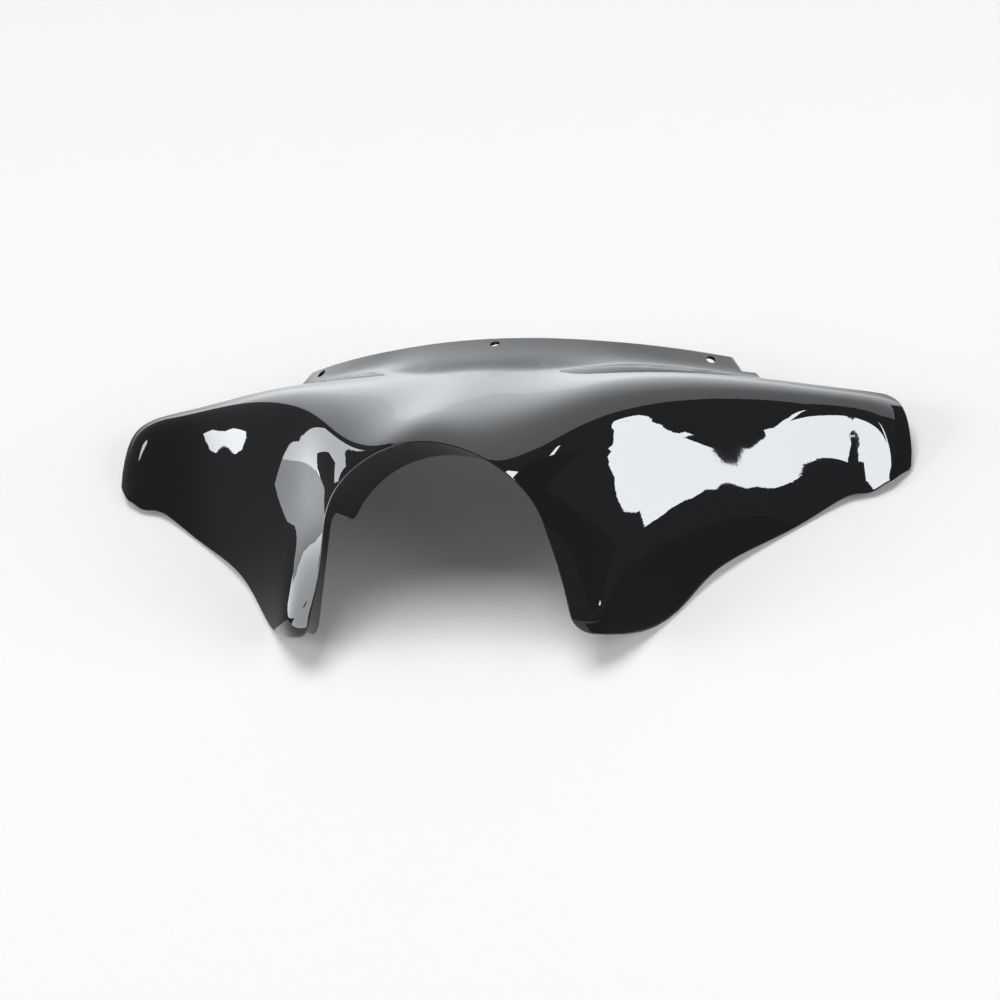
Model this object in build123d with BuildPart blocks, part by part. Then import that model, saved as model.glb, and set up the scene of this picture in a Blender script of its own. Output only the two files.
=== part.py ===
from build123d import *
from math import cos, exp, log1p, radians, sin, sqrt, tan
import os

# Front outer fairing of a touring motorcycle: one moulded shell, laid face up on its rim.
# Sizes are in millimetres and angles in degrees. The form is described as it sits on the machine,
# from the middle windscreen hole: x across, y to the rear, z up. It is then laid back on its rim.

# Moulding, and how it lies on a table
wall = 3.5
rest_tilt = 54.8
datum_height = 97.5

# Windscreen flange and its holes
hole_diameter = 9.5
hole_end_margin = 27.0
hole_edge = 9.5
flange_radius = 345.0
flange_slope = 47.0
flange_half_span = 226.0
flange_end_level = -23.0
flange_corner_inset = 11.0
flange_edge_fall = 15.0
flange_reach = 38.0
flange_stop_slope = 1.5
flange_stop_round = 4.0
fold_round_middle = 46.0
fold_round_end = 10.0
fold_starts = 95.0
fold_fade = 18.0

# Dome from the nose back to the flange, and the tops of the wings
dome_height = -10.0
dome_slope = 0.466
dome_half_width = 142.0
top_fall = 0.118
top_crest = 30.0
brow_curl = 0.0062
brow_depth = -200.0
brow_fade = 42.0
brow_limit = 1.2

# Nose, cheeks beside the lamp and dished wing panels
nose_front = -226.0
nose_crown = 2500.0
nose_round = 60.0
brow_level = -132.0
brow_round = 6.0
column_half_span = 147.0
column_depth = -134.0
column_bow = 0.0016
column_blend = 9.0
cheek_slope = 1.1
cheek_twist = 0.0165
cheek_level = -190.0
cheek_blend = 12.0
cheek_half_span = 85.0
cheek_round = 30.0
panel_slope = 0.80
panel_flare = 146.0
panel_reach = 35.0
panel_round = 30.0
lobe_reach = 140.0
lobe_half_span = 150.0
lobe_width = 110.0
lobe_roll_level = -285.0
lobe_roll_slope = 2.0
lobe_roll_round = 5.0
knee_half_span = 312.0
knee_blend = 22.0
tip_half_span = 400.0
tip_slope = 0.12
tip_depth = 46.0
tip_draft = 20.0
tip_round = 60.0
shoulder_round = 50.0
top_weight = 0.92
front_weight = 0.75

# Rear rim in the plan view, from the flange end to the wing tip
rim_start = 60.0
rim_corner = (306.0, 100.0)
rim_corner_radius = 20.0
rim_depth = 26.0

# Lamp arch in the front view, and the lip that returns behind it
arch_top = -126.5
arch_crown_radius = 120.0
arch_crown_angle = 46.0
arch_shoulder_radius = 74.0
arch_leg_angle = 76.0
hood_depth = 82.0
hood_end_level = -181.0
hood_end_depth = 68.0
leg_lip_depth = 11.0
foot_lip_depth = 26.0
lip_corner_radius = 5.0

# Lower edge in the front view, from the lobe to the wing tip
lobe_bottom = -293.5
lobe_corner_radius = 18.0
lobe_side = (192.0, -277.0)
waist = (228.0, -233.0)
wing_edge = (300.0, -183.5)
tip_edge = (378.0, -142.5)
tip_side = (406.0, -92.0)

# Sections that carry the form, and how finely they are taken
section_lean = 18.0
section_step = 6.5
point_step = 10.0
low_reach = -350.0
high_reach = 42.0
side_reach = 460.0
sheet_level = -190.0
sheet_round = 60.0
solver_reach = 500.0
solver_steps = 44
steepest = 6.0
slope_probe = 0.5

tilt_cos, tilt_sin = cos(radians(rest_tilt)), sin(radians(rest_tilt))
lean_cos, lean_sin = cos(radians(section_lean)), sin(radians(section_lean))
draft_cos, draft_sin = cos(radians(tip_draft)), sin(radians(tip_draft))
flange_rise = tan(radians(flange_slope))
hole_half_span = flange_half_span - hole_end_margin


def ramp(t, width):
    """Zero before t = 0 and t after it, with a rounded start."""
    return max(t, 0.0) + width * log1p(exp(-abs(t) / width))


def round_max(a, b, k):
    """The larger of two values, rounded where they come within k of each other."""
    return max(a, b) + k * max(0.0, 1 - abs(a - b) / k) ** 3 / 6


def round_min(a, b, k):
    return -round_max(-a, -b, k)


def front(x, z):
    """Depth y of nose, cheek and wing panel at half span x and height z."""
    reach = panel_reach + lobe_reach / (1 + ((x - lobe_half_span) / lobe_width) ** 2)
    below = round_min(ramp(brow_level - z, brow_round), reach, panel_round)
    twist = cheek_twist * ramp(below - (brow_level - cheek_level), cheek_blend)
    panel = panel_slope + (below / panel_flare) ** 3
    side = column_depth - column_bow * below**2 + cheek_slope * (x - column_half_span)
    side -= twist * (round_max(x, cheek_half_span, cheek_round) - column_half_span)
    side += (panel - cheek_slope + twist) * ramp(x - column_half_span, column_blend)
    side -= (panel - tip_slope) * ramp(x - knee_half_span, knee_blend)
    side += lobe_roll_slope * ramp(lobe_roll_level - z, lobe_roll_round)
    return round_max(side, nose_front + x * x / (2 * nose_crown), nose_round)


def top(x, y):
    """Height z of dome and wing top at half span x and depth y."""
    slope = dome_slope / (1 + (x / dome_half_width) ** 3)
    curl = brow_curl * exp(min(brow_limit, (brow_depth - y) / brow_fade))
    crest = sqrt(x * x + top_crest**2) - top_crest
    return dome_height - top_fall * crest + slope * y - curl * x * x


def flange_depth(x):
    """How far back the curved flange lies at half span x."""
    return flange_radius - sqrt(max(1.0, flange_radius**2 - x * x))


def outside(x, y, z):
    """Below zero inside the form, above zero outside it."""
    x = abs(x)
    out = z * lean_sin - y * lean_cos
    tip = (x - tip_half_span) * draft_cos + (out + tip_depth) * draft_sin
    ends = round_max(top_weight * (z - top(x, y)), tip, tip_round)
    body = round_max(front_weight * (front(x, z) - y), ends, shoulder_round)
    flange = (z - flange_rise * (y - flange_depth(x))) * cos(radians(flange_slope))
    flange += flange_stop_slope * ramp(flange_depth(x) - flange_reach - y, flange_stop_round)
    fade = 1 / (1 + exp((x - fold_starts) / fold_fade))
    return round_min(body, flange, fold_round_end + (fold_round_middle - fold_round_end) * fade)


def laid(x, y, z):
    """A mounted point or direction as it lies at rest, before the datum is lifted."""
    return Vector(x, y * tilt_cos + z * tilt_sin, z * tilt_cos - y * tilt_sin)


def solve(is_inside):
    """The largest distance that is still inside."""
    low, high = -solver_reach, solver_reach
    for _ in range(solver_steps):
        middle = (low + high) / 2
        if is_inside(middle):
            low = middle
        else:
            high = middle
    return low


def skin(x, v):
    """How far out the skin lies over (x, v) in a section, flattened to a sheet round the form."""

    def is_inside(out):
        return outside(x, v * lean_sin - out * lean_cos, v * lean_cos + out * lean_sin) < 0

    return round_max(solve(is_inside), sheet_level, sheet_round)


def inner_skin(x, v):
    """The outer skin lowered so that the wall is even when measured square to it."""
    d = slope_probe
    slope_x = (skin(x + d, v) - skin(x - d, v)) / (2 * d)
    slope_v = (skin(x, v + d) - skin(x, v - d)) / (2 * d)
    return skin(x, v) - wall * min(steepest, sqrt(1 + slope_x**2 + slope_v**2))


def skin_depth(x, z):
    """Depth y of the skin at a point of the front view."""
    return -solve(lambda forward: outside(x, -forward, z) < 0)


def stations(start, stop, step):
    count = round((stop - start) / step)
    return [start + (stop - start) * i / count for i in range(count + 1)]


datum = Vector(0, 0, datum_height)
out_axis = laid(0, -lean_cos, lean_sin)
up_axis = laid(0, lean_sin, lean_cos)
rear_axis = laid(0, 1, 0)


def sections_under(surface, floor):
    """Cross sections, from the lowest up, of the block that lies behind a surface."""
    half_span = stations(0, side_reach, point_step)
    across = [-x for x in half_span[:0:-1]] + half_span
    faces = []
    for v in stations(low_reach, high_reach, section_step):
        with BuildSketch(Plane(origin=datum + up_axis * v, x_dir=(1, 0, 0), z_dir=-up_axis)) as section:
            with BuildLine():
                half = [surface(x, v) for x in half_span]
                heights = half[:0:-1] + half
                points = [Vector(x, height) for x, height in zip(across, heights)]
                add(Edge.make_spline(points, parameters=across))
                Polyline(points[-1], (side_reach, floor), (-side_reach, floor), points[0])
            make_face()
        faces.append(section.sketch.face())
    return faces


with BuildPart() as block:
    loft(sections_under(skin, 2 * sheet_level))

with BuildPart() as core:
    loft(sections_under(inner_skin, 3 * sheet_level))

# The front view looks along the lamp's axis, the side view looks across
front_view = Plane(origin=datum, x_dir=(1, 0, 0), z_dir=-rear_axis)
side_view = Plane(origin=datum, x_dir=rear_axis, z_dir=(1, 0, 0))
turn = arch_leg_angle - arch_crown_angle
far = 2 * solver_reach

with BuildSketch(front_view, mode=Mode.PRIVATE) as outline:
    with BuildLine():
        crown = JernArc((0, arch_top), (1, 0), arch_crown_radius, -arch_crown_angle)
        shoulder = JernArc(crown @ 1, crown % 1, arch_shoulder_radius, -turn)
        leg_end = lobe_bottom + lobe_corner_radius * (1 - cos(radians(arch_leg_angle)))
        leg_length = ((shoulder @ 1).Y - leg_end) / sin(radians(arch_leg_angle))
        leg = PolarLine(shoulder @ 1, leg_length, direction=shoulder % 1)
        corner = JernArc(leg @ 1, leg % 1, lobe_corner_radius, arch_leg_angle)
        edge = Spline(
            corner @ 1, lobe_side, waist, wing_edge, tip_edge, tip_side,
            tangents=((1, 0), (0.1, 1)),
        )
        edge_top = hole_edge * sin(radians(flange_slope))
        flange_corner = (flange_half_span - flange_corner_inset, edge_top - flange_edge_fall)
        flange_foot = (flange_half_span, flange_end_level)
        Polyline(edge @ 1, (far, tip_side[1]), (far, flange_end_level), flange_foot, flange_corner)
        rim = TangentArc((0, edge_top), flange_corner, tangent=(1, 0))
        Line(rim @ 0, crown @ 0)
    make_face()
    mirror(about=Plane.YZ)

# The lip follows the arch and returns along the lamp's axis: deep in the hood, shallow on the legs
crown_y = skin_depth(0, arch_top)
hood_y = skin_depth((shoulder @ 1).X, (shoulder @ 1).Y)
foot_y = skin_depth((leg @ 1).X, (leg @ 1).Y)

with BuildPart() as lip_room:
    with BuildSketch(front_view):
        with BuildLine():
            top_arc = JernArc((0, arch_top + wall), (1, 0), arch_crown_radius + wall, -arch_crown_angle)
            side_arc = JernArc(top_arc @ 1, top_arc % 1, arch_shoulder_radius + wall, -turn)
            side_line = PolarLine(side_arc @ 1, 2 * leg_length, direction=side_arc % 1)
            Polyline(side_line @ 1, (0, (side_line @ 1).Y), top_arc @ 0)
        make_face()
        mirror(about=Plane.YZ)
    extrude(amount=far, both=True)
    hood_rear = Vector(crown_y + hood_depth, arch_top)
    hood_end = Vector(hood_y + hood_end_depth, hood_end_level)
    leg_rear = Vector(hood_y + leg_lip_depth, hood_end_level)
    foot_rear = Vector(foot_y + foot_lip_depth, leg_end)
    over = hood_rear + (hood_rear - hood_end)
    under = foot_rear + (foot_rear - leg_rear)
    with BuildSketch(side_view):
        with BuildLine():
            FilletPolyline(
                over, hood_end, leg_rear, under, (-far, under.Y), (-far, over.Y),
                radius=lip_corner_radius, close=True,
            )
        make_face()
    extrude(amount=far, both=True, mode=Mode.INTERSECT)

# The plan view looks down on the mounted fairing and carries the rear rim
plan_view = Plane(origin=datum, x_dir=(1, 0, 0), z_dir=laid(0, 0, 1))

with BuildSketch(plan_view, mode=Mode.PRIVATE) as behind_rim:
    with BuildLine():
        rim_end = Vector(tip_half_span, rim_depth)
        beyond = rim_end + (rim_end - Vector(*rim_corner))
        FilletPolyline(
            (flange_half_span, rim_start), rim_corner, beyond, (far, beyond.Y), (far, far),
            (flange_half_span, far), radius=rim_corner_radius, close=True,
        )
    make_face()
    mirror(about=Plane.YZ)

# Windscreen holes, square to the flange
rim_radius = (flange_corner[0] ** 2 + flange_edge_fall**2) / (2 * flange_edge_fall)


def hole_plane(x):
    """A plane on the skin at a windscreen hole, facing squarely out of the flange."""
    z = sqrt(rim_radius**2 - x * x) - rim_radius
    y = skin_depth(x, z)
    d = slope_probe
    across = outside(x + d, y, z) - outside(x - d, y, z)
    back = outside(x, y + d, z) - outside(x, y - d, z)
    up = outside(x, y, z + d) - outside(x, y, z - d)
    return Plane(origin=datum + laid(x, y, z), z_dir=laid(across, back, up))


with BuildPart() as fairing:
    add(block.part)
    extrude(outline.sketch, amount=far, both=True, mode=Mode.INTERSECT)
    split(bisect_by=Plane.XY, keep=Keep.TOP)
    extrude(behind_rim.sketch, amount=far, both=True, mode=Mode.SUBTRACT)
    add(core.part - lip_room.part, mode=Mode.SUBTRACT)
    for x in (-hole_half_span, 0, hole_half_span):
        with Locations(hole_plane(x).offset(2 * wall)):
            Hole(hole_diameter / 2, depth=4 * wall)

# Laid on the table with its origin under the middle of its box
box = fairing.part.bounding_box()
fairing_shell = Pos(0, -box.center().Y, -box.min.Z) * fairing.part

os.makedirs("parts", exist_ok=True)
fairing_shell.label = "fairing_shell"
export_step(fairing_shell, "parts/fairing_shell.step")
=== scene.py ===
from math import cos, radians, sin

import bpy
import numpy as np
from mathutils import Matrix, Vector
from mathutils.kdtree import KDTree


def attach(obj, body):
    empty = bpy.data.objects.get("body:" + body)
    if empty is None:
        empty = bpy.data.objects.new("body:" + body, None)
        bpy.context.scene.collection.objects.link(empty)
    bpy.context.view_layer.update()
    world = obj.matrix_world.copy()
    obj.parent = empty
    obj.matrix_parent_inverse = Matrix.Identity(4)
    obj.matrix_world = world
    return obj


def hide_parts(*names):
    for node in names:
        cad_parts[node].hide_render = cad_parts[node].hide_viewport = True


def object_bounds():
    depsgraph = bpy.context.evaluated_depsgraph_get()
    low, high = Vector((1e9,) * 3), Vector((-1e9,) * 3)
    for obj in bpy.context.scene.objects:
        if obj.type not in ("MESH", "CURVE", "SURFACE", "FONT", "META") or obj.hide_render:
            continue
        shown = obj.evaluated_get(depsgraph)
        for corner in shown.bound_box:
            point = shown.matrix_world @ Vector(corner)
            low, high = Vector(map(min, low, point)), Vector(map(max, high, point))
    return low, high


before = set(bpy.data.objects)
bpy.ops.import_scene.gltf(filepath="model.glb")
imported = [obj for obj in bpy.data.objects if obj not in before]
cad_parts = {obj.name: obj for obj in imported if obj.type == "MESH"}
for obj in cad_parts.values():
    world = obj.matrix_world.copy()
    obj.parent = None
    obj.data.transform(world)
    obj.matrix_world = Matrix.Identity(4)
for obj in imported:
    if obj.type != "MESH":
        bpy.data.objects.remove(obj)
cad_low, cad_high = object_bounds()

scene = bpy.context.scene
scene.view_settings.view_transform = "Standard"

# Lengths are in metres and angles in degrees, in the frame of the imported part.

# Camera: a long lens in front of the nose, raised and a little to its right
DATUM = Vector((0.0, 0.143535, 0.0975))
VIEW_TILT = 47.0
VIEW_YAW = 18.0
VIEW_ROLL = 1.4
VIEW_DISTANCE = 3.4435
VIEW_RIGHT = -0.00307
VIEW_RISE = 0.149
LENS = 129.1
SENSOR = 36.0
CLIP_END = 100.0

# Moulded rim: the skin rolls over its edge by this much, in this many steps
RIM_ROUND = 0.0016
RIM_STEPS = 4
RIM_EASE = 3.0
SMALLEST_RIM = 0.05

# Wing tips: the table's cut leaves a corner there, which is drawn into a rounder end within this reach.
# Each pull is a place on the right half and how far it moves.
TIP_EASE = 0.018
TIP_PULLS = (
    ((0.391, 0.036, 0), (-0.006, 0.0035, 0.0105)),
    ((0.368, 0.031, 0.0125), (0, -0.0075, -0.0045)),
)

# Mesh: points are matched on this many steps a metre and joined at this many decimals
MATCH_STEPS = 1e6
JOIN_DIGITS = 7
TINY = 1e-12

# Set: the table, the light round it, and how bright the cards are that the gloss shows
FLOOR_REACH = 5.0
FLOOR_COLOR = (0.86, 0.86, 0.86, 1)
FLOOR_LIFT = 0.04
ROOM_LIGHT = (0.17, 0.175, 0.18, 1)
WHITE = (1, 1, 1, 1)
CARD_COLOR = (0.93, 0.965, 1.0, 1)
KEY_LEVEL = 21.0
LEFT_LEVEL = 7.0
STRIP_LEVEL = 2.6
CROOK_LEVEL = 5.5
SPOT_LEVEL = 10.0
DARK_LEVEL = 0.2
ROOM_LEVEL = 0.28
ROOM_HALF = 3.0

# Lamps: name, azimuth, elevation, size and power
LAMP_DISTANCE = 5.2
LAMPS = (
    ("top_lamp", 175, 86, 2.6, 160),
    ("key_lamp", 76, 26, 3, 118),
    ("fill_lamp", -76, 26, 3, 118),
)

# Key card: its outline, in parts of its distance, is what the gloss shows on the right wing
KEY_ORIGIN = (0.25, 0.01, 0.09)
KEY_HEADING = (72, 45)
KEY_DISTANCE = 0.7
KEY_OUTLINE = (
    (0.08, -0.31), (0.095, -0.325), (0.121, -0.325), (0.121, -0.25), (0.148, -0.236), (0.145, -0.2),
    (0.16, -0.165), (0.19, -0.12), (0.225, -0.06), (0.26, -0.02), (0.3, 0.03), (0.36, 0.115), (0.365, 0.145),
    (0.3, 0.068), (0.235, 0.003), (0.17, -0.085), (0.2, 0.1), (0.22, 0.345), (0.05, 0.3), (-0.1, 0.255),
    (-0.27, 0.23),
)

# Small dark flags that keep the key card off the right shoulder and cheek: box, origin, heading, distance
SHOULDER_FLAG = ((-0.35, 0.3, -0.3, 0.3), (0.096, -0.095, 0.16), (93, 30), 0.15)
CHEEK_FLAG = ((-0.3, 0.3, -0.25, 0.5), (0.146, -0.14, 0.08), (86, 38), 0.17)

# Left cards, by depth and height: far ones for the leg and the wing's spot, near ones for the slot's sides
LEFT_FAR = -0.47
LEFT_NEAR = -0.25
TALL_OUTLINE = (
    (-0.05, 0.05), (-0.13, 0.053), (-0.2, 0.1), (-0.3, 0.2), (-0.42, 0.34), (-0.45, 0.6), (-0.33, 0.6),
    (-0.25, 0.44), (-0.16, 0.32), (-0.08, 0.19), (-0.045, 0.125),
)
STRIP_OUTLINE = (
    (-0.115, 0.088), (-0.05, 0.086), (-0.02, 0.097), (-0.004, 0.115), (-0.015, 0.125), (-0.035, 0.125),
    (-0.06, 0.11), (-0.115, 0.102),
)
CROOK_OUTLINE = (
    (-0.004, 0.115), (0.015, 0.14), (0.05, 0.172), (0.09, 0.21), (0.09, 0.24), (0, 0.215), (-0.04, 0.18),
    (-0.04, 0.165), (-0.02, 0.18), (0, 0.195), (0.017, 0.19), (0.005, 0.15), (-0.015, 0.125),
)
SPOT_OUTLINE = ((0.068, 0.076), (0.1, 0.088), (0.115, 0.1), (0.1, 0.104), (0.085, 0.096), (0.07, 0.083))

# The card in front of the left lobe, by span and height
LOBE_FRONT = -0.3
LOBE_OUTLINE = ((-0.42, 0.003), (-0.12, 0.003), (-0.12, 0.28), (-0.3, 0.4), (-0.42, 0.3))

# Large dark flags beside the wings, and on the table just above the floor
FLAG_SPAN = 0.62
LEFT_FLAG = (-0.8, 0.5, 0, 0.6)
RIGHT_FLAG = (-0.8, 0.7, 0, 0.2)
LEFT_GROUND = (-0.75, -0.14, -0.135, 0.18)
RIGHT_GROUND = (0.14, 0.75, -0.4, 0.18)
GROUND_LIFT = 0.002

# Lit backdrop: a sweep on the table and a wall behind it. Each grade runs from a start to an end, and
# from a level to a level. The pool of light lies round its place.
SWEEP = (-1.5, 1.5, 0.18, 0.9)
SWEEP_LIFT = 0.003
SWEEP_ALONG = (0.18, 0.45, 0.8, 2.4)
SWEEP_ACROSS = (-1.4, -0.6, 0.3, 1)
BACK_WALL = (-1.8, 1.8, 0, 2.2)
BACK_WALL_DEPTH = 0.9
BACK_WALL_ALONG = (0, 0.9, 2.2, 2.0)
BACK_WALL_ACROSS = (-1.6, -0.8, 0.3, 1)
POOL_PLACE = (0.4, 0.9, 0.15)
POOL_REACH = 0.75
POOL_LEVEL = 1.0

# Finishes: the noise and grain scales are per metre, and each span runs from low to high
PLASTIC_IOR = 1.5
GLOSS_COLOR = (0.004, 0.0045, 0.005, 1)
GLOSS_ROUGHNESS = (0.005, 0.02)
HAZE_SCALE = 9
HAZE_SPAN = (0.35, 0.75)
DUST_COLOR = (0.09, 0.088, 0.085, 1)
DUST_SCALE = 260
DUST_EDGE = (0.05, 0.09)
DUST_PATCH_SCALE = 31
DUST_PATCH_SPAN = (0.6, 0.72)
PEEL_SCALE = 420
PEEL_DEPTH = 0.0001
PEEL_STRENGTH = 0.02
SATIN_DARK = (0.009, 0.009, 0.010, 1)
SATIN_PALE = (0.020, 0.020, 0.021, 1)
SATIN_ROUGHNESS = (0.36, 0.52)
FLOW_SCALE = 14
FLOW_TINT_SPAN = (0.3, 0.75)
FLOW_ROUGHNESS_SPAN = (0.3, 0.7)
GRAIN_SCALE = 900
GRAIN_DEPTH = 0.0004
GRAIN_STRENGTH = 0.25

# The form that the shell is cut from, as in the part's source: millimetres and degrees, as it sits on
# the machine, from the middle windscreen hole. It gives the skin its true normals.
MM = 1000.0
WALL = 0.0035
REST_TILT = 54.8
SLOPE_PROBE = 0.05
LARGEST_MEND = 8.0
SECTION_LEAN = 18.0
FLANGE_RADIUS = 345.0
FLANGE_SLOPE = 47.0
FLANGE_REACH = 38.0
FLANGE_STOP_SLOPE = 1.5
FLANGE_STOP_ROUND = 4.0
FOLD_ROUND_MIDDLE = 46.0
FOLD_ROUND_END = 10.0
FOLD_STARTS = 95.0
FOLD_FADE = 18.0
DOME_HEIGHT = -10.0
DOME_SLOPE = 0.466
DOME_HALF_WIDTH = 142.0
TOP_FALL = 0.118
TOP_CREST = 30.0
BROW_CURL = 0.0062
BROW_DEPTH = -200.0
BROW_FADE = 42.0
BROW_LIMIT = 1.2
NOSE_FRONT = -226.0
NOSE_CROWN = 2500.0
NOSE_ROUND = 60.0
BROW_LEVEL = -132.0
BROW_ROUND = 6.0
COLUMN_HALF_SPAN = 147.0
COLUMN_DEPTH = -134.0
COLUMN_BOW = 0.0016
COLUMN_BLEND = 9.0
CHEEK_SLOPE = 1.1
CHEEK_TWIST = 0.0165
CHEEK_LEVEL = -190.0
CHEEK_BLEND = 12.0
CHEEK_HALF_SPAN = 85.0
CHEEK_ROUND = 30.0
PANEL_SLOPE = 0.80
PANEL_FLARE = 146.0
PANEL_REACH = 35.0
PANEL_ROUND = 30.0
LOBE_REACH = 140.0
LOBE_HALF_SPAN = 150.0
LOBE_WIDTH = 110.0
LOBE_ROLL_LEVEL = -285.0
LOBE_ROLL_SLOPE = 2.0
LOBE_ROLL_ROUND = 5.0
KNEE_HALF_SPAN = 312.0
KNEE_BLEND = 22.0
TIP_HALF_SPAN = 400.0
TIP_SLOPE = 0.12
TIP_DEPTH = 46.0
TIP_DRAFT = 20.0
TIP_ROUND = 60.0
SHOULDER_ROUND = 50.0
TOP_WEIGHT = 0.92
FRONT_WEIGHT = 0.75


def in_rest(x, y, z):
    """A direction of the camera's level frame, turned into the frame of the part at rest."""
    c, s = cos(radians(VIEW_TILT)), sin(radians(VIEW_TILT))
    return Vector((x, y * c + z * s, z * c - y * s))


def add_camera():
    c, s = cos(radians(VIEW_YAW)), sin(radians(VIEW_YAW))
    cr, sr = cos(radians(VIEW_ROLL)), sin(radians(VIEW_ROLL))
    right = in_rest(c * cr, s * cr, -sr)
    up = in_rest(c * sr, s * sr, cr)
    ahead = in_rest(-s, c, 0)
    data = bpy.data.cameras.new("camera")
    data.lens = LENS
    data.sensor_width = SENSOR
    data.clip_end = CLIP_END
    camera = bpy.data.objects.new("camera", data)
    turn = Matrix((right, up, -ahead)).transposed().to_4x4()
    place = DATUM - VIEW_RIGHT * right - VIEW_RISE * up - VIEW_DISTANCE * ahead
    camera.matrix_world = Matrix.Translation(place) @ turn
    scene.collection.objects.link(camera)
    scene.camera = camera


def unit(v):
    return v / np.maximum(np.linalg.norm(v, axis=-1, keepdims=True), TINY)


def read_mesh(mesh):
    """Corner positions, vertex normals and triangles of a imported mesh."""
    count = len(mesh.vertices)
    points = np.empty(count * 3)
    mesh.vertices.foreach_get("co", points)
    mesh.calc_loop_triangles()
    triangles = np.empty(len(mesh.loop_triangles) * 3, dtype=np.int64)
    mesh.loop_triangles.foreach_get("vertices", triangles)
    loops = np.empty(len(mesh.loops) * 3)
    mesh.corner_normals.foreach_get("vector", loops)
    owner = np.empty(len(mesh.loops), dtype=np.int64)
    mesh.loops.foreach_get("vertex_index", owner)
    normals = np.zeros((count, 3))
    np.add.at(normals, owner, loops.reshape(-1, 3))
    return points.reshape(-1, 3), unit(normals), triangles.reshape(-1, 3)


def islands(count, triangles):
    """A label for each vertex: each face of the solid is packed as a mesh of its own."""
    label = np.arange(count)
    while True:
        lowest = label[triangles].min(axis=1)
        new = label.copy()
        for corner in range(3):
            np.minimum.at(new, triangles[:, corner], lowest)
        new = new[new]
        if (new == label).all():
            return label
        label = new


def ramp(t, width):
    """Zero before t = 0 and t after it, with a rounded start."""
    return np.maximum(t, 0) + width * np.log1p(np.exp(-np.abs(t) / width))


def round_max(a, b, k):
    """The larger of two values, rounded where they come within k of each other."""
    return np.maximum(a, b) + k * np.maximum(0, 1 - np.abs(a - b) / k) ** 3 / 6


def round_min(a, b, k):
    return -round_max(-a, -b, k)


def front(x, z):
    """Depth of nose, cheek and wing panel."""
    reach = PANEL_REACH + LOBE_REACH / (1 + ((x - LOBE_HALF_SPAN) / LOBE_WIDTH) ** 2)
    below = round_min(ramp(BROW_LEVEL - z, BROW_ROUND), reach, PANEL_ROUND)
    twist = CHEEK_TWIST * ramp(below - (BROW_LEVEL - CHEEK_LEVEL), CHEEK_BLEND)
    panel = PANEL_SLOPE + (below / PANEL_FLARE) ** 3
    side = COLUMN_DEPTH - COLUMN_BOW * below**2 + CHEEK_SLOPE * (x - COLUMN_HALF_SPAN)
    side -= twist * (round_max(x, CHEEK_HALF_SPAN, CHEEK_ROUND) - COLUMN_HALF_SPAN)
    side += (panel - CHEEK_SLOPE + twist) * ramp(x - COLUMN_HALF_SPAN, COLUMN_BLEND)
    side -= (panel - TIP_SLOPE) * ramp(x - KNEE_HALF_SPAN, KNEE_BLEND)
    side += LOBE_ROLL_SLOPE * ramp(LOBE_ROLL_LEVEL - z, LOBE_ROLL_ROUND)
    return round_max(side, NOSE_FRONT + x * x / (2 * NOSE_CROWN), NOSE_ROUND)


def top(x, y):
    """Height of dome and wing top."""
    slope = DOME_SLOPE / (1 + (x / DOME_HALF_WIDTH) ** 3)
    curl = BROW_CURL * np.exp(np.minimum(BROW_LIMIT, (BROW_DEPTH - y) / BROW_FADE))
    crest = np.sqrt(x * x + TOP_CREST**2) - TOP_CREST
    return DOME_HEIGHT - TOP_FALL * crest + slope * y - curl * x * x


def outside(x, y, z):
    """The form of the outer skin: below zero inside it, above zero outside it."""
    x = np.abs(x)
    lean, draft, rise = radians(SECTION_LEAN), radians(TIP_DRAFT), radians(FLANGE_SLOPE)
    out = z * sin(lean) - y * cos(lean)
    tip = (x - TIP_HALF_SPAN) * cos(draft) + (out + TIP_DEPTH) * sin(draft)
    ends = round_max(TOP_WEIGHT * (z - top(x, y)), tip, TIP_ROUND)
    body = round_max(FRONT_WEIGHT * (front(x, z) - y), ends, SHOULDER_ROUND)
    back = FLANGE_RADIUS - np.sqrt(np.maximum(1, FLANGE_RADIUS**2 - x * x))
    flange = z * cos(rise) - sin(rise) * (y - back)
    flange += FLANGE_STOP_SLOPE * ramp(back - FLANGE_REACH - y, FLANGE_STOP_ROUND)
    fade = 1 / (1 + np.exp((x - FOLD_STARTS) / FOLD_FADE))
    return round_min(body, flange, FOLD_ROUND_END + (FOLD_ROUND_MIDDLE - FOLD_ROUND_END) * fade)


def true_normals(points, normals, depth):
    """Normals of the form itself at skin points that lie a depth behind it."""
    c, s = cos(radians(REST_TILT)), sin(radians(REST_TILT))
    stand = MM * (points + depth * normals - np.array(DATUM))
    x, y, z = stand[:, 0], stand[:, 1] * c - stand[:, 2] * s, stand[:, 1] * s + stand[:, 2] * c
    d = SLOPE_PROBE
    across = outside(x + d, y, z) - outside(x - d, y, z)
    back = outside(x, y + d, z) - outside(x, y - d, z)
    up = outside(x, y, z + d) - outside(x, y, z - d)
    found = unit(np.stack([across, back * c + up * s, up * c - back * s], axis=1))
    agree = (found * normals).sum(axis=1, keepdims=True) > cos(radians(LARGEST_MEND))
    return np.where(agree, found, normals)


def edge_loops(triangles):
    """The open edges of one face's mesh, chained into loops of vertices."""
    edges = np.concatenate([triangles[:, [0, 1]], triangles[:, [1, 2]], triangles[:, [2, 0]]])
    whole = {tuple(e) for e in edges}
    follow = {a: b for a, b in whole if (b, a) not in whole}
    loops = []
    while follow:
        start = next(iter(follow))
        loop = [start]
        while loop[-1] in follow:
            loop.append(follow.pop(loop[-1]))
        loops.append(loop)
    return loops


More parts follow.
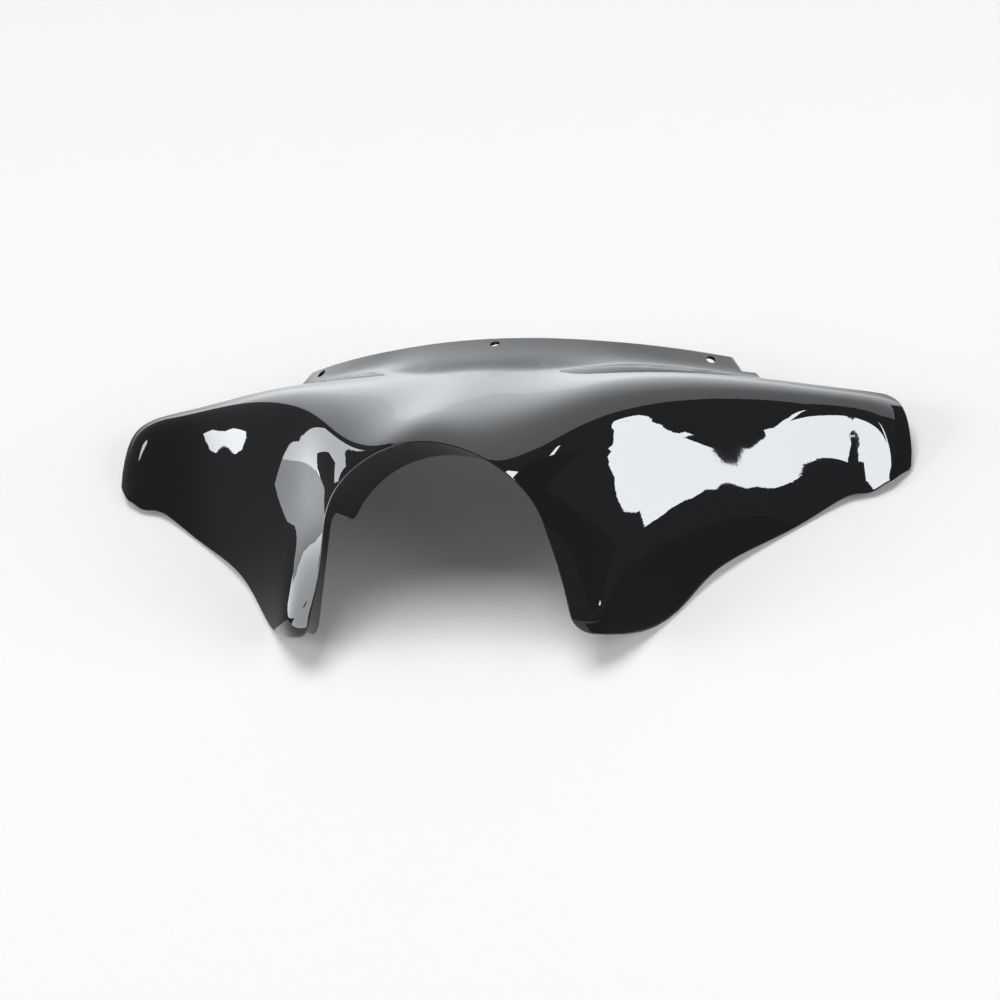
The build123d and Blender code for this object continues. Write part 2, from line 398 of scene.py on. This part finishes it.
def eased_tips(points):
    """The points with the corner of each wing tip drawn in."""
    mirror = np.ones_like(points)
    mirror[:, 0] = np.sign(points[:, 0])
    half = mirror * points
    for place, pull in TIP_PULLS:
        away = ((half - place) ** 2).sum(axis=1, keepdims=True)
        half = half + np.exp(-away / TIP_EASE**2) * pull
    return mirror * half


def find_skins(points, normals, triangles, label):
    """The labels of the two largest faces: the outer skin, which looks up, and then the inner one."""
    corners = points[triangles]
    areas = np.linalg.norm(np.cross(corners[:, 1] - corners[:, 0], corners[:, 2] - corners[:, 0]), axis=1)
    names, where = np.unique(label[triangles[:, 0]], return_inverse=True)
    biggest = names[np.argsort(np.bincount(where, weights=areas))[-2:]]
    heights = [normals[label == name, 2].mean() for name in biggest]
    return biggest[np.argsort(heights)[::-1]]


def rolled_rim(points, normals, triangles, label, outer):
    """The outer skin's edge, rolled over: the moved points, the way in from each rim point, and a strip."""
    keys = [tuple(k) for k in np.round(points * MATCH_STEPS).astype(np.int64)]
    sharing = {}
    for i, key in enumerate(keys):
        sharing.setdefault(key, []).append(i)
    moved = points.copy()
    inward = {}
    arcs = {}
    strip_points, strip_normals, strip_faces = [], [], []
    for loop in edge_loops(triangles[label[triangles[:, 0]] == outer]):
        length = np.linalg.norm(np.diff(points[loop], axis=0), axis=1).sum()
        if length < SMALLEST_RIM:
            continue
        for i in loop[:-1] if loop[0] == loop[-1] else loop:
            others = [j for j in sharing[keys[i]] if label[j] != outer]
            if not others:
                continue
            n = normals[i]
            m = unit(normals[others].sum(axis=0))
            along = unit(m - (m @ n) * n)
            down = unit(n - (n @ m) * m)
            inward[i] = -along
            start, end = points[i] - RIM_ROUND * along, points[i] - RIM_ROUND * down
            moved[others] = end
            arcs[i] = len(points) + len(strip_points)
            for s in range(RIM_STEPS + 1):
                t = s / RIM_STEPS
                strip_points.append((1 - t) ** 2 * start + 2 * t * (1 - t) * points[i] + t * t * end)
                strip_normals.append(unit((1 - t) * n + t * m))
        for a, b in zip(loop, loop[1:]):
            if a in arcs and b in arcs:
                for s in range(RIM_STEPS):
                    p, q = arcs[a] + s, arcs[b] + s
                    strip_faces += [(q, p, p + 1), (q, p + 1, q + 1)]
    return moved, inward, (strip_points, strip_normals, strip_faces)


def draw_back(moved, points, normals, skin, inward):
    """Draw the skin back from the rolled rim, easing out within a few millimetres."""
    rim = list(inward)
    tree = KDTree(len(rim))
    for k, i in enumerate(rim):
        tree.insert(points[i], k)
    tree.balance()
    ease = RIM_EASE * RIM_ROUND
    for i in skin:
        _, k, distance = tree.find(points[i])
        if distance < ease:
            pull = inward[rim[k]]
            pull = pull - (pull @ normals[i]) * normals[i]
            moved[i] = points[i] + RIM_ROUND * (1 - distance / ease) * unit(pull)


def add_shell(points, normals, faces, inside):
    """One joined mesh with these corner normals and a second finish inside."""
    joined, index = np.unique(np.round(points, JOIN_DIGITS), axis=0, return_inverse=True)
    solid = index.reshape(-1)[faces]
    good = (solid[:, 0] != solid[:, 1]) & (solid[:, 1] != solid[:, 2]) & (solid[:, 2] != solid[:, 0])
    mesh = bpy.data.meshes.new("shell")
    mesh.from_pydata(joined.tolist(), [], solid[good].tolist())
    mesh.polygons.foreach_set("use_smooth", [True] * len(mesh.polygons))
    mesh.polygons.foreach_set("material_index", inside[good].astype(int).tolist())
    mesh.normals_split_custom_set(normals[faces[good]].reshape(-1, 3).tolist())
    shell = bpy.data.objects.new("shell", mesh)
    scene.collection.objects.link(shell)
    return shell


def moulded_shell(node):
    """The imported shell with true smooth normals, its outer rim rolled over and its wing tips eased."""
    points, normals, triangles = read_mesh(node.data)
    label = islands(len(points), triangles)
    outer, inner = find_skins(points, normals, triangles, label)
    chosen = label == outer
    normals[chosen] = true_normals(points[chosen], normals[chosen], 0)
    chosen = label == inner
    normals[chosen] = -true_normals(points[chosen], -normals[chosen], WALL)
    moved, inward, strip = rolled_rim(points, normals, triangles, label, outer)
    strip_points, strip_normals, strip_faces = strip
    draw_back(moved, points, normals, np.flatnonzero(label == outer), inward)
    inside = np.concatenate([label[triangles[:, 0]] == inner, np.zeros(len(strip_faces), dtype=bool)])
    points = eased_tips(np.concatenate([moved, strip_points]))
    return add_shell(
        np.clip(points, cad_low, cad_high),
        np.concatenate([normals, strip_normals]),
        np.concatenate([triangles, strip_faces]),
        inside,
    )


def heading(azimuth, elevation):
    """A direction by its angle round from the nose, plus to the right, and its angle above the floor."""
    a, e = radians(azimuth), radians(elevation)
    return Vector((sin(a) * cos(e), -cos(a) * cos(e), sin(e)))


def add_lamp(name, azimuth, elevation, size, power):
    """A square soft lamp that lights the table. The gloss shows the cards instead."""
    data = bpy.data.lights.new(name, "AREA")
    data.shape = "SQUARE"
    data.size = size
    data.energy = power
    lamp = bpy.data.objects.new(name, data)
    away = heading(azimuth, elevation)
    turn = away.to_track_quat("Z", "Y").to_matrix().to_4x4()
    lamp.matrix_world = Matrix.Translation(LAMP_DISTANCE * away) @ turn
    lamp.visible_glossy = False
    scene.collection.objects.link(lamp)


def add_stage(name, corners, material):
    """A flat part of the set: the floor, or a card."""
    mesh = bpy.data.meshes.new(name)
    mesh.from_pydata(corners, [], [range(len(corners))])
    mesh.materials.append(material)
    piece = bpy.data.objects.new(name, mesh)
    scene.collection.objects.link(piece)
    return piece


def for_gloss_only(card):
    for ray in ("camera", "diffuse", "transmission", "volume_scatter", "shadow"):
        setattr(card, "visible_" + ray, False)


def add_card(name, corners, level):
    """An evenly lit studio card, or a dark flag, that only the gloss sees."""
    material, tree = new_material(name)
    out = tree.nodes.new("ShaderNodeOutputMaterial")
    glow = tree.nodes.new("ShaderNodeEmission")
    glow.inputs["Color"].default_value = CARD_COLOR
    glow.inputs["Strength"].default_value = level
    tree.links.new(glow.outputs[0], out.inputs["Surface"])
    for_gloss_only(add_stage(name, corners, material))


def box(left, right, low, high):
    return [(left, low), (right, low), (right, high), (left, high)]


def across_span(x, corners):
    """Corners of a card that stands at x, from their depths and heights."""
    return [(x, y, z) for y, z in corners]


def across_depth(y, corners):
    """Corners of a card that stands at y, from their spans and heights."""
    return [(x, y, z) for x, z in corners]


def lying(z, corners):
    return [(x, y, z) for x, y in corners]


def aimed(corners, origin, direction, distance):
    """Corners, in parts of the distance, of a card that squarely faces the origin."""
    away = heading(*direction)
    across = Vector((0, 0, 1)).cross(away).normalized()
    up = away.cross(across)
    return [tuple(Vector(origin) + distance * (away + x * across + y * up)) for x, y in corners]


def grade(tree, value, start, end, low, high):
    """A smooth change of level between two places."""
    node = tree.nodes.new("ShaderNodeMapRange")
    node.interpolation_type = "SMOOTHSTEP"
    for socket, setting in zip(("From Min", "From Max", "To Min", "To Max"), (start, end, low, high)):
        node.inputs[socket].default_value = setting
    tree.links.new(value, node.inputs["Value"])
    return node.outputs["Result"]


def combine(tree, operation, a, b):
    node = tree.nodes.new("ShaderNodeMath")
    node.operation = operation
    tree.links.new(a, node.inputs[0])
    tree.links.new(b, node.inputs[1])
    return node.outputs[0]


def backdrop_material(name, axis, along, across):
    """The lit backdrop behind: graded along one axis and to the left, with a pool of light on it."""
    material, tree = new_material(name)
    out = tree.nodes.new("ShaderNodeOutputMaterial")
    glow = tree.nodes.new("ShaderNodeEmission")
    glow.inputs["Color"].default_value = CARD_COLOR
    place = tree.nodes.new("ShaderNodeTexCoord").outputs["Object"]
    split = tree.nodes.new("ShaderNodeSeparateXYZ")
    tree.links.new(place, split.inputs[0])
    away = tree.nodes.new("ShaderNodeVectorMath")
    away.operation = "DISTANCE"
    away.inputs[1].default_value = POOL_PLACE
    tree.links.new(place, away.inputs[0])
    sheet = combine(
        tree, "MULTIPLY", grade(tree, split.outputs[axis], *along), grade(tree, split.outputs["X"], *across)
    )
    pool = grade(tree, away.outputs["Value"], 0, POOL_REACH, POOL_LEVEL, 0)
    tree.links.new(combine(tree, "ADD", sheet, pool), glow.inputs["Strength"])
    tree.links.new(glow.outputs[0], out.inputs["Surface"])
    return material


def new_material(name):
    material = bpy.data.materials.new(name)
    material.use_nodes = True
    material.node_tree.nodes.clear()
    return material, material.node_tree


def seen_rays(tree):
    """One for the rays that show a background: the camera's, and those off gloss and through glass."""
    path = tree.nodes.new("ShaderNodeLightPath")
    shown = combine(tree, "ADD", path.outputs["Is Camera Ray"], path.outputs["Is Glossy Ray"])
    shown = combine(tree, "ADD", shown, path.outputs["Is Transmission Ray"])
    shown.node.use_clamp = True
    return shown


def floor_material():
    """Pale table. It is lifted towards white where it shows, and its shadows stay."""
    material, tree = new_material("pale_table")
    out = tree.nodes.new("ShaderNodeOutputMaterial")
    paper = tree.nodes.new("ShaderNodeBsdfDiffuse")
    paper.inputs["Color"].default_value = FLOOR_COLOR
    lift = tree.nodes.new("ShaderNodeEmission")
    add = tree.nodes.new("ShaderNodeAddShader")
    tree.links.new(grade(tree, seen_rays(tree), 0, 1, 0, FLOOR_LIFT), lift.inputs["Strength"])
    tree.links.new(paper.outputs[0], add.inputs[0])
    tree.links.new(lift.outputs[0], add.inputs[1])
    tree.links.new(add.outputs[0], out.inputs["Surface"])
    return material


def set_world():
    """White where it shows, and a dim room for the light that it gives."""
    world = bpy.data.worlds.new("room")
    world.use_nodes = True
    tree = world.node_tree
    tree.nodes.clear()
    out = tree.nodes.new("ShaderNodeOutputWorld")
    room = tree.nodes.new("ShaderNodeBackground")
    room.inputs["Color"].default_value = ROOM_LIGHT
    white = tree.nodes.new("ShaderNodeBackground")
    white.inputs["Color"].default_value = WHITE
    mix = tree.nodes.new("ShaderNodeMixShader")
    tree.links.new(seen_rays(tree), mix.inputs["Fac"])
    tree.links.new(room.outputs[0], mix.inputs[1])
    tree.links.new(white.outputs[0], mix.inputs[2])
    tree.links.new(mix.outputs[0], out.inputs["Surface"])
    scene.world = world


def noise(tree, place, scale, detail):
    node = tree.nodes.new("ShaderNodeTexNoise")
    node.inputs["Scale"].default_value = scale
    node.inputs["Detail"].default_value = detail
    tree.links.new(place, node.inputs["Vector"])
    return node.outputs["Fac"]


def bumped(tree, height, distance, strength):
    node = tree.nodes.new("ShaderNodeBump")
    node.inputs["Distance"].default_value = distance
    node.inputs["Strength"].default_value = strength
    tree.links.new(height, node.inputs["Height"])
    return node.outputs["Normal"]


def tinted(tree, share, low, high):
    """A colour between two, by share."""
    node = tree.nodes.new("ShaderNodeMix")
    node.data_type = "RGBA"
    node.inputs["A"].default_value = low
    node.inputs["B"].default_value = high
    tree.links.new(share, node.inputs["Factor"])
    return node.outputs["Result"]


def plastic_shader(tree):
    out = tree.nodes.new("ShaderNodeOutputMaterial")
    plastic = tree.nodes.new("ShaderNodeBsdfPrincipled")
    plastic.inputs["IOR"].default_value = PLASTIC_IOR
    tree.links.new(plastic.outputs[0], out.inputs["Surface"])
    return plastic, tree.nodes.new("ShaderNodeTexCoord").outputs["Object"]


def gloss_material():
    """Black gloss plastic: faint orange peel, hazy from handling in places, with a little settled dust."""
    material, tree = new_material("gloss_black")
    plastic, place = plastic_shader(tree)
    haze = noise(tree, place, HAZE_SCALE, 3)
    tree.links.new(grade(tree, haze, *HAZE_SPAN, *GLOSS_ROUGHNESS), plastic.inputs["Roughness"])
    grains = tree.nodes.new("ShaderNodeTexVoronoi")
    grains.inputs["Scale"].default_value = DUST_SCALE
    tree.links.new(place, grains.inputs["Vector"])
    speck = grade(tree, grains.outputs["Distance"], *DUST_EDGE, 1, 0)
    settled = grade(tree, noise(tree, place, DUST_PATCH_SCALE, 2), *DUST_PATCH_SPAN, 0, 1)
    dust = combine(tree, "MULTIPLY", speck, settled)
    tree.links.new(tinted(tree, dust, GLOSS_COLOR, DUST_COLOR), plastic.inputs["Base Color"])
    peel = bumped(tree, noise(tree, place, PEEL_SCALE, 1), PEEL_DEPTH, PEEL_STRENGTH)
    tree.links.new(peel, plastic.inputs["Normal"])
    return material


def inside_material():
    """The unpolished back of the moulding: a fine satin texture with paler flow marks and scuffs."""
    material, tree = new_material("satin_black")
    plastic, place = plastic_shader(tree)
    flow = noise(tree, place, FLOW_SCALE, 5)
    pale = grade(tree, flow, *FLOW_TINT_SPAN, 0, 1)
    tree.links.new(tinted(tree, pale, SATIN_DARK, SATIN_PALE), plastic.inputs["Base Color"])
    tree.links.new(grade(tree, flow, *FLOW_ROUGHNESS_SPAN, *SATIN_ROUGHNESS), plastic.inputs["Roughness"])
    grain = bumped(tree, noise(tree, place, GRAIN_SCALE, 2), GRAIN_DEPTH, GRAIN_STRENGTH)
    tree.links.new(grain, plastic.inputs["Normal"])
    return material


add_camera()
set_world()
floor = box(-FLOOR_REACH, FLOOR_REACH, -FLOOR_REACH, FLOOR_REACH)
add_stage("floor", lying(0, floor), floor_material())
for lamp in LAMPS:
    add_lamp(*lamp)

add_card("key_card", aimed(KEY_OUTLINE, KEY_ORIGIN, KEY_HEADING, KEY_DISTANCE), KEY_LEVEL)
for name, (edges, *facing) in (("shoulder_flag", SHOULDER_FLAG), ("cheek_flag", CHEEK_FLAG)):
    add_card(name, aimed(box(*edges), *facing), DARK_LEVEL)

add_card("left_card", across_span(LEFT_FAR, TALL_OUTLINE), LEFT_LEVEL)
add_card("left_strip", across_span(LEFT_NEAR, STRIP_OUTLINE), STRIP_LEVEL)
add_card("left_crook", across_span(LEFT_NEAR, CROOK_OUTLINE), CROOK_LEVEL)
add_card("left_spot", across_span(LEFT_FAR, SPOT_OUTLINE), SPOT_LEVEL)
add_card("lobe_card", across_depth(LOBE_FRONT, LOBE_OUTLINE), LEFT_LEVEL)

add_card("left_flag", across_span(-FLAG_SPAN, box(*LEFT_FLAG)), DARK_LEVEL)
add_card("right_flag", across_span(FLAG_SPAN, box(*RIGHT_FLAG)), DARK_LEVEL)
add_card("left_ground", lying(GROUND_LIFT, box(*LEFT_GROUND)), DARK_LEVEL)
add_card("right_ground", lying(GROUND_LIFT, box(*RIGHT_GROUND)), DARK_LEVEL)

sweep = backdrop_material("sweep", "Y", SWEEP_ALONG, SWEEP_ACROSS)
wall = backdrop_material("wall", "Z", BACK_WALL_ALONG, BACK_WALL_ACROSS)
for_gloss_only(add_stage("sweep", lying(SWEEP_LIFT, box(*SWEEP)), sweep))
for_gloss_only(add_stage("wall", across_depth(BACK_WALL_DEPTH, box(*BACK_WALL)), wall))

# The dim room that the gloss shows everywhere else
side = box(-ROOM_HALF, ROOM_HALF, 0, ROOM_HALF)
add_card("room_top", lying(ROOM_HALF, box(-ROOM_HALF, ROOM_HALF, -ROOM_HALF, ROOM_HALF)), ROOM_LEVEL)
add_card("room_front", across_depth(-ROOM_HALF, side), ROOM_LEVEL)
add_card("room_back", across_depth(ROOM_HALF, side), ROOM_LEVEL)
add_card("room_left", across_span(-ROOM_HALF, side), ROOM_LEVEL)
add_card("room_right", across_span(ROOM_HALF, side), ROOM_LEVEL)

shell = moulded_shell(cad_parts["fairing_shell"])
shell.data.materials.append(gloss_material())
shell.data.materials.append(inside_material())
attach(shell, "root")
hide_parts("fairing_shell")
